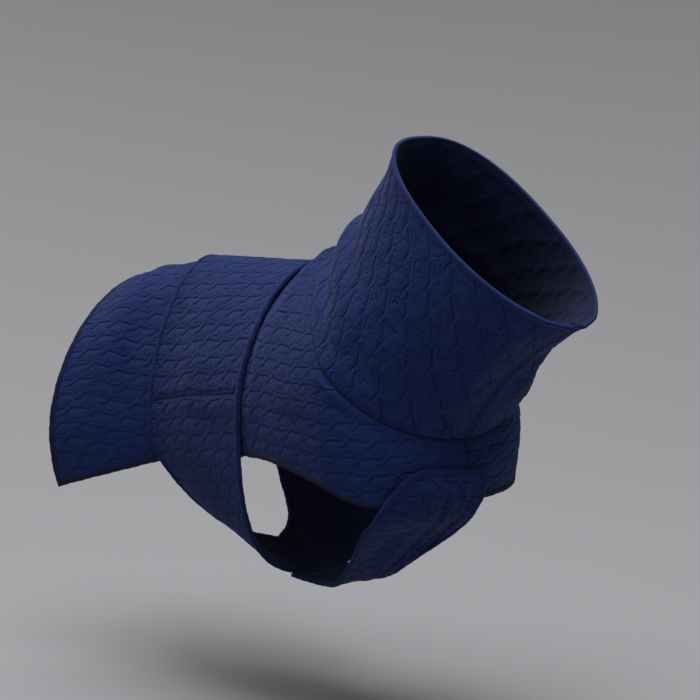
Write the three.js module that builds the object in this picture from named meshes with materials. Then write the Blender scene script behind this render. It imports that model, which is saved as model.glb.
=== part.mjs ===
// Quilted dog coat with a funnel collar, a girth band over the back and a chest strap.
// Millimetres, X towards the head, Y to the wearer's left, Z up. The outer faces are
// worked out from sections across the trunk, and each wall is offset from its face.
import * as THREE from 'three';

// ---- driving sizes ----
const CLOTH = 3;              // quilted double jersey
const SEAM = 0.4;             // room between sewn edges
const LAP = 0.8;              // room between a panel and what lies on it
const TRIM = 5;               // width of the edge binding
const TRIM_PROUD = 0.5;       // how far the binding stands out of its panel
const BAND_REAR = -126;       // the girth band covers this length of the back
const BAND_FRONT = 0;
const HINGE = 100;            // the breast turns about the upright line here
const BREAST_ARC = 113;       // from flank to breastbone, along the cloth
const RIDGE = 1.75;           // superellipse power of the back, a soft ridge
const SIDE_SEAM = 0.72;       // the band changes to the belly panel this far down to the hem

const NECK = { back: 24.6, backUp: 19.5, front: 150, frontUp: -107.5, half: 88, egg: 1.45 };
const RIM = { back: 104, backUp: 98.5, front: 256, frontUp: -22.5, half: 57, square: 2.5 };
const BREAST_DEPTH = NECK.front - HINGE;

// A row for each section of the body: its place along the cloth, the ridge of the back,
// the widest point and the hem. Past HINGE, "along" runs round the breast.
const BODY = {
  columns: ['along', 'spineUp', 'wideOut', 'wideUp', 'hemOut', 'hemUp'],
  rows: [
    [-209, -20.5, 91, -133.5, 83, -177.5],
    [-180, -10.5, 82, -129.5, 76, -168.5],
    [-152, -6, 69, -123.5, 62, -159.5],
    [-126, -3, 58.5, -119.5, 52, -151.5],
    [-66, -0.5, 65, -109.5, 62, -139.5],
    [-20, 1, 70.5, -102, 68.7, -133.5],
    [0, 3, 74, -98.5, 71.7, -130],
    [10, 11, 77, -97.5, 74.5, -129.5],
    [24.6, 19.5, 80, -95.5, 78, -128.5],
    [50, 22.5, 86, -94.5, 83, -129.5],
    [100, 22.5, 91, -91.5, 88, -137.5],
    [140, 22.5, 91, -105.5, 85, -149.5],
    [180, 22.5, 91, -119.5, 80, -152.5],
    [213, 22.5, 91, -125.5, 78, -152.5],
  ],
};
const TAIL = BODY.rows[0][0];
const BREASTBONE = HINGE + BREAST_ARC;

// The belly: the lowest line of the trunk and how square its section is.
const BELLY = {
  columns: ['along', 'bellyUp', 'square'],
  rows: [
    [-126, -179.5, 2.27],
    [-60, -198, 2.52],
    [0, -218.5, 2.9],
  ],
};

// The belly panel is cut away behind: its rear edge against the way round, 0 at the
// side seam and 1 under the breastbone.
const CUTAWAY = {
  columns: ['round', 'along'],
  rows: [
    [0, -126],
    [0.35, -120],
    [0.6, -98],
    [0.85, -62],
    [1, -48],
  ],
};
const BELLY_HALF = 130;       // way round the belly panel, side seam to middle

// The chest strap, from the belly forward between the legs and up on to the breast.
const STRAP = {
  columns: ['run', 'along', 'up', 'halfWidth', 'aside', 'wrap', 'tilt'],
  rows: [
    [0, 0.2, -222.5, 29, 0, 0.05, 0],
    [28, 28, -224.5, 25, 2, 0.1, 0],
    [54, 53, -220.5, 26, 8, 0.2, 0],
    [90, 84, -200.5, 35.5, 12.5, 0.5, 0.02],
    [128, 116, -177.5, 46, 16, 0.8, 0.04],
    [158, 146, -160, 40.5, 25, 1, 0.07],
    [180, 156, -142.5, 39, 23, 1, 0.08],
    [195, 155.5, -127.5, 40, 22, 1, 0.08],
  ],
};
const STRAP_END = 195;
const STRAP_CORNERS = { right: 28, left: 10 };   // corner radii of the strap's end
const STRAP_OVAL = 94;        // half width of the oval that the strap wraps round

// How far the collar's wall is drawn in half way up, by the turn from the withers.
const COLLAR_WAIST = {
  columns: ['degrees', 'drawnIn'],
  rows: [
    [0, 6],
    [120, 6],
    [180, 12],
  ],
};

// How finely the sheets are faceted.
const COLUMNS = { skirt: 5, band: 5, neck: 8, breast: 8, collar: 24, strap: 15 };
const ROWS = { body: 12, belly: 8, collar: 8, strap: 6, corner: 7 };
const SIDE_SEAM_ROW = Math.round(SIDE_SEAM * ROWS.body);

// ---- small mathematics ----
const vec = (x, y, z) => new THREE.Vector3(x, y, z);
const mix = (a, b, t) => a + (b - a) * t;
const steps = (from, to, count) => Array.from({ length: count + 1 }, (_, i) => mix(from, to, i / count));
const power = (base, exponent) => Math.max(0, base) ** exponent;
const acrossMiddle = (v) => vec(v.x, -v.y, v.z);
const mirrored = ({ point, way }) => ({ point: acrossMiddle(point), way: acrossMiddle(way) });
const inMiddlePlane = ({ point, way }) => ({ point, way: vec(way.x, 0, way.z).normalize() });

// Smooth curve through one column of a table, its slopes taken from the neighbours.
function read({ columns, rows }, column, at) {
  const c = columns.indexOf(column);
  const last = rows.length - 1;
  const gap = (i) => rows[i + 1][0] - rows[i][0];
  const rise = (i) => (rows[i + 1][c] - rows[i][c]) / gap(i);
  const slope = (i) => {
    if (i === 0) return rise(0);
    if (i === last) return rise(last - 1);
    return (rise(i - 1) * gap(i) + rise(i) * gap(i - 1)) / (gap(i - 1) + gap(i));
  };
  let i = 0;
  while (i < last - 1 && at >= rows[i + 1][0]) i += 1;
  const t = (at - rows[i][0]) / gap(i);
  return rows[i][c] * (2 * t ** 3 - 3 * t ** 2 + 1)
    + slope(i) * gap(i) * (t ** 3 - 2 * t ** 2 + t)
    + rows[i + 1][c] * (3 * t ** 2 - 2 * t ** 3)
    + slope(i + 1) * gap(i) * (t ** 3 - t ** 2);
}

function pathLength(path) {
  return path.slice(1).reduce((sum, [x, y], i) => sum + Math.hypot(x - path[i][0], y - path[i][1]), 0);
}

// The point at a distance along a path; past its end the last piece is carried on.
function walk(path, distance) {
  let left = distance;
  let i = 1;
  let piece = pathLength(path.slice(0, 2));
  while (left > piece && i < path.length - 1) {
    left -= piece;
    i += 1;
    piece = pathLength(path.slice(i - 1, i + 1));
  }
  const t = left / piece;
  return [mix(path[i - 1][0], path[i][0], t), mix(path[i - 1][1], path[i][1], t)];
}

// A point of a surface f(a, b) with its outward way, which is a-direction cross b-direction.
function skin(f, a, b, stepA = 0.5, stepB = 0.5) {
  const alongA = f(a + stepA, b).sub(f(a - stepA, b));
  const alongB = f(a, b + stepB).sub(f(a, Math.max(0, b - stepB)));
  return { point: f(a, b), way: alongA.cross(alongB).normalize() };
}

// ---- the trunk: sections as [out, up] from the top edge downwards ----
const neckUp = (x) => mix(NECK.backUp, NECK.frontUp, (x - NECK.back) / (NECK.front - NECK.back));
const neckNormal = vec(NECK.backUp - NECK.frontUp, 0, NECK.front - NECK.back).normalize();
const breastAngle = (along) => ((along - HINGE) / BREAST_ARC) * (Math.PI / 2);

// Neck seam on the wearer's left: turn 0 at the withers, pi at the breastbone.
function neckRing(turn) {
  const across = Math.sin(turn);
  const back = Math.cos(turn);
  const behind = back > 0;
  const x = behind ? HINGE - (HINGE - NECK.back) * back ** (2 / NECK.egg) : HINGE - BREAST_DEPTH * back;
  const y = NECK.half * (behind ? power(across, 2 / NECK.egg) : across);
  return vec(x, y, neckUp(x));
}

function topEdge(along) {
  if (along <= NECK.back) return [0, read(BODY, 'spineUp', along)];
  if (along > HINGE) return [NECK.half, neckUp(HINGE + BREAST_DEPTH * Math.sin(breastAngle(along)))];
  const behind = (HINGE - along) / (HINGE - NECK.back);
  return [NECK.half * power(1 - behind ** NECK.egg, 1 / NECK.egg), neckUp(along)];
}

function upperSection(along) {
  const wide = read(BODY, 'wideOut', along);
  const wideUp = read(BODY, 'wideUp', along);
  const [topOut, topUp] = topEdge(along);
  const start = Math.asin((topOut / wide) ** (RIDGE / 2));
  const height = (topUp - wideUp) / Math.cos(start) ** (2 / RIDGE);
  return steps(start, Math.PI / 2, 40).map((angle) => [
    wide * Math.sin(angle) ** (2 / RIDGE),
    wideUp + height * power(Math.cos(angle), 2 / RIDGE),
  ]);
}

function bodySection(along) {
  const wide = read(BODY, 'wideOut', along);
  const wideUp = read(BODY, 'wideUp', along);
  const tuck = wide - read(BODY, 'hemOut', along);
  const hemUp = read(BODY, 'hemUp', along);
  const flank = steps(0, 1, 12).slice(1).map((q) => [wide - tuck * q * q, mix(wideUp, hemUp, q)]);
  return [...upperSection(along), ...flank];
}

function girthSection(along) {
  const wide = read(BODY, 'wideOut', along);
  const wideUp = read(BODY, 'wideUp', along);
  const depth = wideUp - read(BELLY, 'bellyUp', along);
  const bend = 2 / read(BELLY, 'square', along);
  const belly = steps(0, Math.PI / 2, 40).slice(1).map((angle) => [
    wide * power(Math.cos(angle), bend),
    wideUp - depth * Math.sin(angle) ** bend,
  ]);
  return [...upperSection(along), ...belly];
}

function place(along, [out, up]) {
  if (along <= HINGE) return vec(along, out, up);
  const angle = breastAngle(along);
  const forward = (out * BREAST_DEPTH) / NECK.half;
  return vec(HINGE + forward * Math.sin(angle), out * Math.cos(angle), up);
}

const bodyAt = (along, down) => place(along, walk(bodySection(along), down));
const girthAt = (along, down) => place(along, walk(girthSection(along), down));
const hemAt = (along) => pathLength(bodySection(along));
const rowDown = (along, row) => ((hemAt(along) - TRIM - SEAM) * row) / ROWS.body;

// The body's wall is cut in the plane of the neck seam, so that the collar meets it flat.
function neckWay(point) {
  const middle = vec((NECK.back + NECK.front) / 2, 0, (NECK.backUp + NECK.frontUp) / 2);
  const out = point.clone().sub(middle);
  return out.addScaledVector(neckNormal, -out.dot(neckNormal)).normalize();
}

// Left side of the body's outer face.
function bodySkin(along, down) {
  const onNeckSeam = down === 0 && along > NECK.back - 1;
  let spot = skin(bodyAt, along, down);
  if (onNeckSeam) {
    spot = { point: spot.point.clone().addScaledVector(neckNormal, -SEAM / 2), way: neckWay(spot.point) };
  }
  if (along === BREASTBONE) {
    spot = inMiddlePlane(spot);
    spot.point.y = SEAM / 2;
  }
  return spot.point.y < 1e-6 ? inMiddlePlane(spot) : spot;
}

// ---- cloth walls ----
// A sheet is a list of spots (point and outward way) and a list of four-sided facets. Its
// wall lies from "inner" to "outer" along the ways, and every open edge is closed.
function thicken({ spots, facets }, inner, outer) {
  const face = (amount) => spots.map(({ point, way }) => point.clone().addScaledVector(way, amount));
  const count = spots.length;
  const triangles = [];
  const quad = (a, b, c, d) => triangles.push(a, b, c, a, c, d);
  const around = (facet) => facet.map((a, k) => [a, facet[(k + 1) % 4]]);
  const edges = new Set(facets.flatMap(around).map(([a, b]) => `${a} ${b}`));
  for (const facet of facets) {
    const [a, b, c, d] = facet;
    quad(a, b, c, d);
    quad(d + count, c + count, b + count, a + count);
    for (const [from, to] of around(facet)) {
      if (!edges.has(`${to} ${from}`)) quad(to, from, from + count, to + count);
    }
  }
  const corners = [...face(outer), ...face(inner)].flatMap((p) => p.toArray());
  const geometry = new THREE.BufferGeometry();
  geometry.setAttribute('position', new THREE.Float32BufferAttribute(corners, 3));
  geometry.setIndex(triangles);
  geometry.computeVertexNormals();
  return geometry;
}

// Rows of spots to a sheet; along a row is the a-direction, from row to row the b-direction.
function gridSheet(rows, closed = false) {
  const wide = rows[0].length;
  const facets = [];
  for (let r = 0; r + 1 < rows.length; r += 1) {
    for (let c = 0; c + 1 < wide + (closed ? 1 : 0); c += 1) {
      const next = (c + 1) % wide;
      facets.push([r * wide + c, r * wide + next, (r + 1) * wide + next, (r + 1) * wide + c]);
    }
  }
  return { spots: rows.flat(), facets };
}

// ---- coat body: back, flanks and breast in one cut, with a seam at the breastbone ----
const bandStations = [
  BAND_REAR,
  ...steps(BAND_REAR + TRIM + SEAM, BAND_FRONT - TRIM - SEAM, COLUMNS.band),
  BAND_FRONT,
];
const bodyStations = [
  ...steps(TAIL + TRIM + SEAM, BAND_REAR, COLUMNS.skirt).slice(0, -1),
  ...bandStations,
  7,
  15,
  NECK.back,
  ...steps(0, Math.PI / 2, COLUMNS.neck).slice(1).map((turn) => neckRing(turn).x),
  ...steps(HINGE, BREASTBONE, COLUMNS.breast).slice(1),
];

function coatBody() {
  const spots = [];
  const names = new Map();
  const name = (key, spot) => {
    if (spot) names.set(key, spots.push(spot) - 1);
    return names.get(key);
  };
  bodyStations.forEach((along, s) => {
    for (let row = 0; row <= ROWS.body; row += 1) {
      const spot = bodySkin(along, rowDown(along, row));
      const left = name(`left ${s} ${row}`, spot);
      if (row === 0 && along <= NECK.back) names.set(`right ${s} ${row}`, left);
      else name(`right ${s} ${row}`, mirrored(spot));
    }
  });
  const facets = [];
  for (let s = 0; s + 1 < bodyStations.length; s += 1) {
    for (let row = 0; row < ROWS.body; row += 1) {
      const corners = (side) => [[s, row], [s + 1, row], [s + 1, row + 1], [s, row + 1]]
        .map(([i, j]) => name(`${side} ${i} ${j}`));
      facets.push(corners('left'), corners('right').reverse());
    }
  }
  return thicken({ spots, facets }, -CLOTH, 0);
}

// ---- binding of the body's hem and rear edge, breastbone to breastbone round the rump ----
function hemBinding() {
  const corner = TAIL + TRIM;
  const hem = [...bodyStations.slice().reverse(), corner].map((along) => [
    bodySkin(along, hemAt(along)),
    bodySkin(along, hemAt(along) - TRIM),
  ]);
  hem[hem.length - 1][0] = bodySkin(TAIL, hemAt(TAIL));
  const rear = steps(ROWS.body, 0, ROWS.body).map((row) => [
    bodySkin(TAIL, rowDown(TAIL, row)),
    bodySkin(corner, rowDown(corner, row)),
  ]);
  const left = [...hem, ...rear];
  const right = left.slice(0, -1).reverse().map((pair) => pair.map(mirrored));
  const path = [...left, ...right];
  return thicken(gridSheet([path.map((p) => p[0]), path.map((p) => p[1])]), -CLOTH, TRIM_PROUD);
}

// ---- collar: a funnel from the neck seam to the rim, with a seam down the throat ----
function rimRing(turn) {
  const along = Math.cos(turn);
  const bend = along > 0 ? 2 / RIM.square : 1;
  const reach = Math.sign(along) * Math.abs(along) ** bend;
  return vec(
    mix(RIM.front, RIM.back, (1 + reach) / 2),
    RIM.half * power(Math.sin(turn), bend),
    mix(RIM.frontUp, RIM.backUp, (1 + reach) / 2),
  );
}

function collarAt(turn, down) {
  const side = turn < 0 ? -1 : 1;
  const base = neckRing(Math.abs(turn)).addScaledVector(neckNormal, SEAM / 2);
  const point = rimRing(Math.abs(turn)).lerp(base, down);
  const low = vec((NECK.back + NECK.front) / 2, 0, (NECK.backUp + NECK.frontUp) / 2);
  const high = vec((RIM.back + RIM.front) / 2, 0, (RIM.backUp + RIM.frontUp) / 2);
  const axis = high.clone().sub(low).normalize();
  const out = point.clone().sub(low);
  out.addScaledVector(axis, -out.dot(axis)).normalize();
  const drawnIn = read(COLLAR_WAIST, 'drawnIn', THREE.MathUtils.radToDeg(Math.abs(turn)));
  point.addScaledVector(out, -drawnIn * 4 * down * (1 - down));
  return vec(point.x, point.y * side, point.z);
}

function collarSkin(turn, down) {
  const side = turn < 0 ? -1 : 1;
  let spot = skin(collarAt, turn, down, 0.01, 0.01);
  if (down === 1) spot.way = neckWay(spot.point);
  if (turn === 0) spot = inMiddlePlane(spot);
  if (Math.abs(turn) === Math.PI) {
    spot = inMiddlePlane(spot);
    spot.point.y = (side * SEAM) / 2;
  }
  return spot;
}

function collar() {
  const turns = steps(-Math.PI, Math.PI, 2 * COLUMNS.collar);
  const rows = steps(0, 1, ROWS.collar).map((down) => turns.map((turn) => collarSkin(turn, down)));
  return thicken(gridSheet(rows), -CLOTH, 0);
}

// ---- girth band over the back, on the body's own points, and the belly panel ----
function bandSpot(along, row) {
  return bodySkin(along, rowDown(along, row));
}

function bellySpot(along, round) {
  const seam = rowDown(along, SIDE_SEAM_ROW);
  const down = mix(seam, pathLength(girthSection(along)), round);
  const spot = skin(girthAt, along, down);
  return round === 1 ? inMiddlePlane(spot) : spot;
}

const overBody = (sheet, proud = 0) => thicken(sheet, LAP, LAP + CLOTH + proud);

// A line "inside" millimetres within the panel's rear edge, square to that edge.
function cutaway(round, inside) {
  const nearby = 0.02;
  const rise = read(CUTAWAY, 'along', round + nearby) - read(CUTAWAY, 'along', round - nearby);
  const slope = rise / (2 * nearby * BELLY_HALF);
  return read(CUTAWAY, 'along', round) + inside * Math.hypot(1, slope);
}

function girthBand() {
  const stations = bandStations.slice(1, -1);
  const rows = steps(0, SIDE_SEAM_ROW, SIDE_SEAM_ROW).map((row) => {
    return stations.map((along) => bandSpot(along, row));
  });
  rows[SIDE_SEAM_ROW] = stations.map((along) => {
    return bodySkin(along, rowDown(along, SIDE_SEAM_ROW) - SEAM / 2);
  });
  const right = rows.slice(1).reverse().map((row) => row.map(mirrored));
  return overBody(gridSheet([...right, ...rows]));
}

function bellyPanel() {
  const rows = steps(0, 1, ROWS.belly).map((round) => {
    const rear = cutaway(round, TRIM + 3 * SEAM);
    return steps(rear, BAND_FRONT - TRIM - SEAM, COLUMNS.band).map((along) => {
      const seam = rowDown(along, SIDE_SEAM_ROW) + SEAM / 2;
      if (round > 0) return bellySpot(along, round);
      return skin(girthAt, along, seam);
    });
  });
  const right = rows.slice(0, -1).reverse().map((row) => row.map(mirrored));
  return overBody(gridSheet([...rows, ...right]));
}

// ---- bindings of the band: rings right round the trunk ----
function bandRing(edgeAt) {
  const back = steps(0, SIDE_SEAM_ROW, SIDE_SEAM_ROW).map((row) => {
    return edgeAt(0).map((along) => bandSpot(along, row));
  });
  const belly = steps(0, 1, ROWS.belly).slice(1).map((round) => {
    return edgeAt(round).map((along) => bellySpot(along, round));
  });
  const left = [...back, ...belly];
  const right = left.slice(1, -1).reverse().map((pair) => pair.map(mirrored));
  const ring = [...left, ...right];
  return overBody(gridSheet([ring.map((p) => p[1]), ring.map((p) => p[0])], true), TRIM_PROUD);
}

const frontEdge = () => [BAND_FRONT - TRIM, BAND_FRONT];
const rearEdge = (round) => [cutaway(round, 0), cutaway(round, TRIM)];

// ---- chest strap ----
function strapAt(run, side) {
  const across = read(STRAP, 'aside', run) + side;
  const along = read(STRAP, 'along', run);
  const wrap = read(STRAP, 'wrap', run) * (along - HINGE);
  const bend = 1 - Math.sqrt(1 - (across / STRAP_OVAL) ** 2);
  return vec(along - wrap * bend, -across, read(STRAP, 'up', run) + read(STRAP, 'tilt', run) * across);
}

// skin() keeps its second number at 0 or more, so the side is counted from the far edge.
const strapSkin = (run, side) => skin((r, s) => strapAt(r, s - STRAP_OVAL), run, side + STRAP_OVAL);

// How far the strap's edge lies to one side, its end corner rounded, drawn in by "inset".
// Side 1 is the wearer's right.
function strapReach(run, inset, side) {
  const half = read(STRAP, 'halfWidth', run) - inset;
  const radius = (side > 0 ? STRAP_CORNERS.right : STRAP_CORNERS.left) - inset;
  const intoCorner = Math.max(0, run - (STRAP_END - inset - radius));
  return side * (half - radius + Math.sqrt(power(radius ** 2 - intoCorner ** 2, 1)));
}

// Runs at which an outline is drawn: even up the sides, by equal turns round the corner.
function strapRuns(inset) {
  const end = STRAP_END - inset;
  const radius = STRAP_CORNERS.right - inset;
  const turns = steps(0, Math.PI / 2, ROWS.corner).slice(1);
  const corner = turns.map((turn) => end - radius * (1 - Math.sin(turn)));
  return [...steps(0, end - radius, COLUMNS.strap), ...corner];
}

// Spots right across the strap, from the wearer's left edge to the right one.
function strapRow(run, inset) {
  const left = strapReach(run, inset, -1);
  const right = strapReach(run, inset, 1);
  return steps(left, right, 2 * ROWS.strap).map((side) => strapSkin(run, side));
}

function chestStrap() {
  const across = strapRuns(TRIM + SEAM).map((run) => strapRow(run, TRIM + SEAM));
  const lengthwise = across[0].map((_, k) => across.map((row) => row[k]));
  return thicken(gridSheet(lengthwise), -CLOTH, 0);
}

// Up the wearer's right side of the strap, across its end and down the left side.
function strapBinding() {
  const outline = (inset) => {
    const runs = strapRuns(inset);
    const edge = (side) => runs.map((run) => strapSkin(run, strapReach(run, inset, side)));
    const end = strapRow(STRAP_END - inset, inset).slice(1, -1).reverse();
    return [...edge(1), ...end, ...edge(-1).reverse()];
  };
  return thicken(gridSheet([outline(TRIM), outline(0)]), -CLOTH, TRIM_PROUD);
}

// ---- the coat ----
const quilt = (colour) => new THREE.MeshStandardMaterial({ color: colour, roughness: 0.85, metalness: 0 });
const NAVY_QUILT = 0x25306a;
const NAVY_BINDING = 0x1b2146;

const coat = new THREE.Group();
function sew(name, geometry, colour) {
  const mesh = new THREE.Mesh(geometry, quilt(colour));
  mesh.name = name;
  coat.add(mesh);
}

sew('coat_body', coatBody(), NAVY_QUILT);
sew('hem_binding', hemBinding(), NAVY_BINDING);
sew('collar', collar(), NAVY_QUILT);
sew('girth_band', girthBand(), NAVY_QUILT);
sew('belly_panel', bellyPanel(), NAVY_QUILT);
sew('band_binding_front', bandRing(frontEdge), NAVY_BINDING);
sew('band_binding_rear', bandRing(rearEdge), NAVY_BINDING);
sew('chest_strap', chestStrap(), NAVY_QUILT);
sew('strap_binding', strapBinding(), NAVY_BINDING);

export default coat;
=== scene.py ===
# A quilted dog coat, in the order that a maker puts it together: body, hem binding,
# collar, girth band, belly panel, band bindings, chest strap and its binding, then the
# studio. Sizes are in millimetres, X towards the head, Y to the wearer's left, Z up.
import math

import bmesh
import bpy
import numpy as np
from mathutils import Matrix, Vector
from mathutils.kdtree import KDTree


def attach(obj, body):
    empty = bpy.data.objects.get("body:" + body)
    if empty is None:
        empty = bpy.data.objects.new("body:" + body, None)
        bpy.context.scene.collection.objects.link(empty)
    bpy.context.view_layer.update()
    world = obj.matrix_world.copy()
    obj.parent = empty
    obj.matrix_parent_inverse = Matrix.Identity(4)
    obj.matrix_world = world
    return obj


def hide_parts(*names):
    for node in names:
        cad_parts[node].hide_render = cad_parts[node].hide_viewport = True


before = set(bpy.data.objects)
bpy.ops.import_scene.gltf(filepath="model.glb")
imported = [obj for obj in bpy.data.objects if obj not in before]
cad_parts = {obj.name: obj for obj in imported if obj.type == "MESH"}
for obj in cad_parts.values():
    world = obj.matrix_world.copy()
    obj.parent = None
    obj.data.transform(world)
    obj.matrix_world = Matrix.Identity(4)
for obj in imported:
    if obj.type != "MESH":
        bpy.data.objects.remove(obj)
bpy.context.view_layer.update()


# ======================================================================================
# COAT BODY. The back, flanks and breast are one cut of navy cotton double jersey, with a
# soft wadding quilted into it in a broken check. It is shaped by its neck edge and by one
# seam under the throat, and it lies over the ridge of the back.
# ======================================================================================
CLOTH = 2.6           # thickness of the quilted jersey
TUCK = 2.6            # a panel's edge ends this far inside its binding
BAND_REAR = -126.0    # the girth band's edges, along the back
BAND_FRONT = 0.0
HINGE = 100.0         # past here the sections fan round the breast
BREAST_ARC = 113.0
RIDGE = 1.75          # superellipse power of the back

NECK = {"back": 24.6, "back_up": 19.5, "front": 150.0, "front_up": -107.5, "half": 88.0, "egg": 1.45}
BREAST_DEPTH = NECK["front"] - HINGE

BODY = ("along spine_up wide_out wide_up hem_out hem_up", [
    (-209, -20.5, 91, -133.5, 83, -177.5),
    (-180, -10.5, 82, -129.5, 76, -168.5),
    (-152, -6, 69, -123.5, 62, -159.5),
    (-126, -3, 58.5, -119.5, 52, -151.5),
    (-66, -0.5, 65, -109.5, 62, -139.5),
    (-20, 1, 70.5, -102, 68.7, -133.5),
    (0, 3, 74, -98.5, 71.7, -130),
    (10, 11, 77, -97.5, 74.5, -129.5),
    (24.6, 19.5, 80, -95.5, 78, -128.5),
    (50, 22.5, 86, -94.5, 83, -129.5),
    (100, 22.5, 91, -91.5, 88, -137.5),
    (140, 22.5, 91, -105.5, 85, -149.5),
    (180, 22.5, 91, -119.5, 80, -152.5),
    (213, 22.5, 91, -125.5, 78, -152.5),
])
TAIL = BODY[1][0][0]
BREASTBONE = HINGE + BREAST_ARC
UPPER_STEPS, FLANK_STEPS = 160, 30    # points of a section, above and below the widest line


def read(table, column, at):
    """One column of a table as a smooth curve, its slopes taken from the neighbours."""
    c = table[0].split().index(column)
    rows = table[1]
    last = len(rows) - 1

    def gap(i):
        return rows[i + 1][0] - rows[i][0]

    def rise(i):
        return (rows[i + 1][c] - rows[i][c]) / gap(i)

    def slope(i):
        if i == 0:
            return rise(0)
        if i == last:
            return rise(last - 1)
        return (rise(i - 1) * gap(i) + rise(i) * gap(i - 1)) / (gap(i - 1) + gap(i))

    i = 0
    while i < last - 1 and at >= rows[i + 1][0]:
        i += 1
    t = (at - rows[i][0]) / gap(i)
    return (rows[i][c] * (2 * t**3 - 3 * t**2 + 1)
            + slope(i) * gap(i) * (t**3 - 2 * t**2 + t)
            + rows[i + 1][c] * (3 * t**2 - 2 * t**3)
            + slope(i + 1) * gap(i) * (t**3 - t**2))


def power(base, exponent):
    return np.maximum(base, 0.0) ** exponent


def neck_up(x):
    share = (x - NECK["back"]) / (NECK["front"] - NECK["back"])
    return NECK["back_up"] + share * (NECK["front_up"] - NECK["back_up"])


def breast_turn(along):
    return (along - HINGE) / BREAST_ARC * math.pi / 2


def top_edge(along):
    """Top of a section: the ridge behind the neck seam, then the neck seam itself."""
    if along <= NECK["back"]:
        return 0.0, read(BODY, "spine_up", along)
    if along > HINGE:
        return NECK["half"], neck_up(HINGE + BREAST_DEPTH * math.sin(breast_turn(along)))
    behind = (HINGE - along) / (HINGE - NECK["back"])
    return NECK["half"] * power(1 - behind ** NECK["egg"], 1 / NECK["egg"]), neck_up(along)


def upper_section(along):
    """From the top edge down to the widest line, as two arrays, out and up."""
    wide, wide_up = read(BODY, "wide_out", along), read(BODY, "wide_up", along)
    top_out, top_up = top_edge(along)
    start = math.asin((top_out / wide) ** (RIDGE / 2))
    height = (top_up - wide_up) / math.cos(start) ** (2 / RIDGE)
    angle = np.linspace(start, math.pi / 2, UPPER_STEPS)
    return wide * np.sin(angle) ** (2 / RIDGE), wide_up + height * power(np.cos(angle), 2 / RIDGE)


def body_section(along):
    wide, wide_up = read(BODY, "wide_out", along), read(BODY, "wide_up", along)
    q = np.linspace(0, 1, FLANK_STEPS)[1:]
    tuck = wide - read(BODY, "hem_out", along)
    out, up = upper_section(along)
    flank_up = wide_up + q * (read(BODY, "hem_up", along) - wide_up)
    return np.append(out, wide - tuck * q * q), np.append(up, flank_up)


def place(along, out, up):
    """A section's point in space. Past the hinge the sections fan round the breast."""
    if along <= HINGE:
        return Vector((along, out, up))
    forward = out * BREAST_DEPTH / NECK["half"]
    turn = breast_turn(along)
    return Vector((HINGE + forward * math.sin(turn), out * math.cos(turn), up))


class Surface:
    """The left side of a form by its sections: places along it, then down its cloth."""

    def __init__(self, section):
        self.section = section
        self.kept = {}

    def path(self, along):
        if along not in self.kept:
            out, up = self.section(along)
            run = np.append(0, np.cumsum(np.hypot(np.diff(out), np.diff(up))))
            self.kept[along] = run, out, up
        return self.kept[along]

    def length(self, along):
        return self.path(along)[0][-1]

    def at(self, along, down):
        run, out, up = self.path(along)
        past = max(0.0, down - run[-1]) / (run[-1] - run[-2])
        return place(along, np.interp(down, run, out) + past * (out[-1] - out[-2]),
                     np.interp(down, run, up) + past * (up[-1] - up[-2]))

    def way(self, along, down, near=0.5):
        """The outward way at a place."""
        forward = self.at(along + near, down) - self.at(along - near, down)
        below = self.at(along, down + near) - self.at(along, max(0.0, down - near))
        return forward.cross(below).normalized()


trunk = Surface(body_section)

# The quilting is a chart of stitched grooves. On the body the strokes run lengthwise in
# rows, and the rows are laid like bricks. All in millimetres, along and across a row.
BODY_QUILT = {
    "repeat": 20.0, "pitch": 11.7, "shift": 10.0, "depth": 0.6,
    "firm": [
        [(-9.6, 0.0), (4.1, 0.0)],
        [(-16.6, 5.0), (-13.4, 4.1), (-9.6, 0.0)],
    ],
    "faint": [
        [(4.1, 0.0), (7.2, -3.6)],
        [(1.6, -3.4), (-3.9, -3.7)],
        [(-4.9, -4.6), (-2.3, -6.6), (-4.4, -8.0)],
    ],
}
FULL_DEPTH = 0.7      # quilting this deep shows its lines in full
GROOVE_REACH = 2.8    # the stitch draws the cloth down this far to each side
FAINT = 0.5           # a faint groove's share of that
SEAM_REACH = 5.0      # a seam draws it down this far to each side
SEAM_DEPTH = 1.0
PLUMP, PLUMP_AT, PLUMP_WIDE = 0.3, 6.0, 3.5    # beside a seam the cloth stands up again
STITCHED_AT = 3.2     # a seam that is sewn down has a row of stitches this far to each side
STITCHED_DEPTH, STITCHED_WIDE = 0.4, 1.4
TURNED = 5.0          # a turned edge is sewn down this far in
TURNED_DEPTH, TURNED_WIDE = 0.5, 1.6
TURNED_CLEAR = 2.0    # and pressing leaves this much of it without grooves
FAR = 50.0            # stands for the distance to a seam that a panel doesn't have
LIP = 4.0             # at a seam the cloth turns in by this much
CROSSED = 0.8         # and down the throat the two lips cross this far, to shut the seam


def chart_pieces(quilt, kind):
    """Every straight piece of such grooves that comes near the chart's first cell."""
    pieces = []
    cell = (quilt["repeat"], quilt["pitch"])
    for row in (-1, 0, 1):
        for step in (-2, -1, 0, 1, 2):
            off = np.array((step * quilt["repeat"] - row * quilt["shift"], row * quilt["pitch"]))
            for line in quilt[kind]:
                ends = np.array(line) + off
                for a, b in zip(ends[:-1], ends[1:]):
                    low, high = np.minimum(a, b) - GROOVE_REACH, np.maximum(a, b) + GROOVE_REACH
                    if (high > 0).all() and (low < cell).all():
                        pieces.append((a, b))
    return pieces


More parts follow.
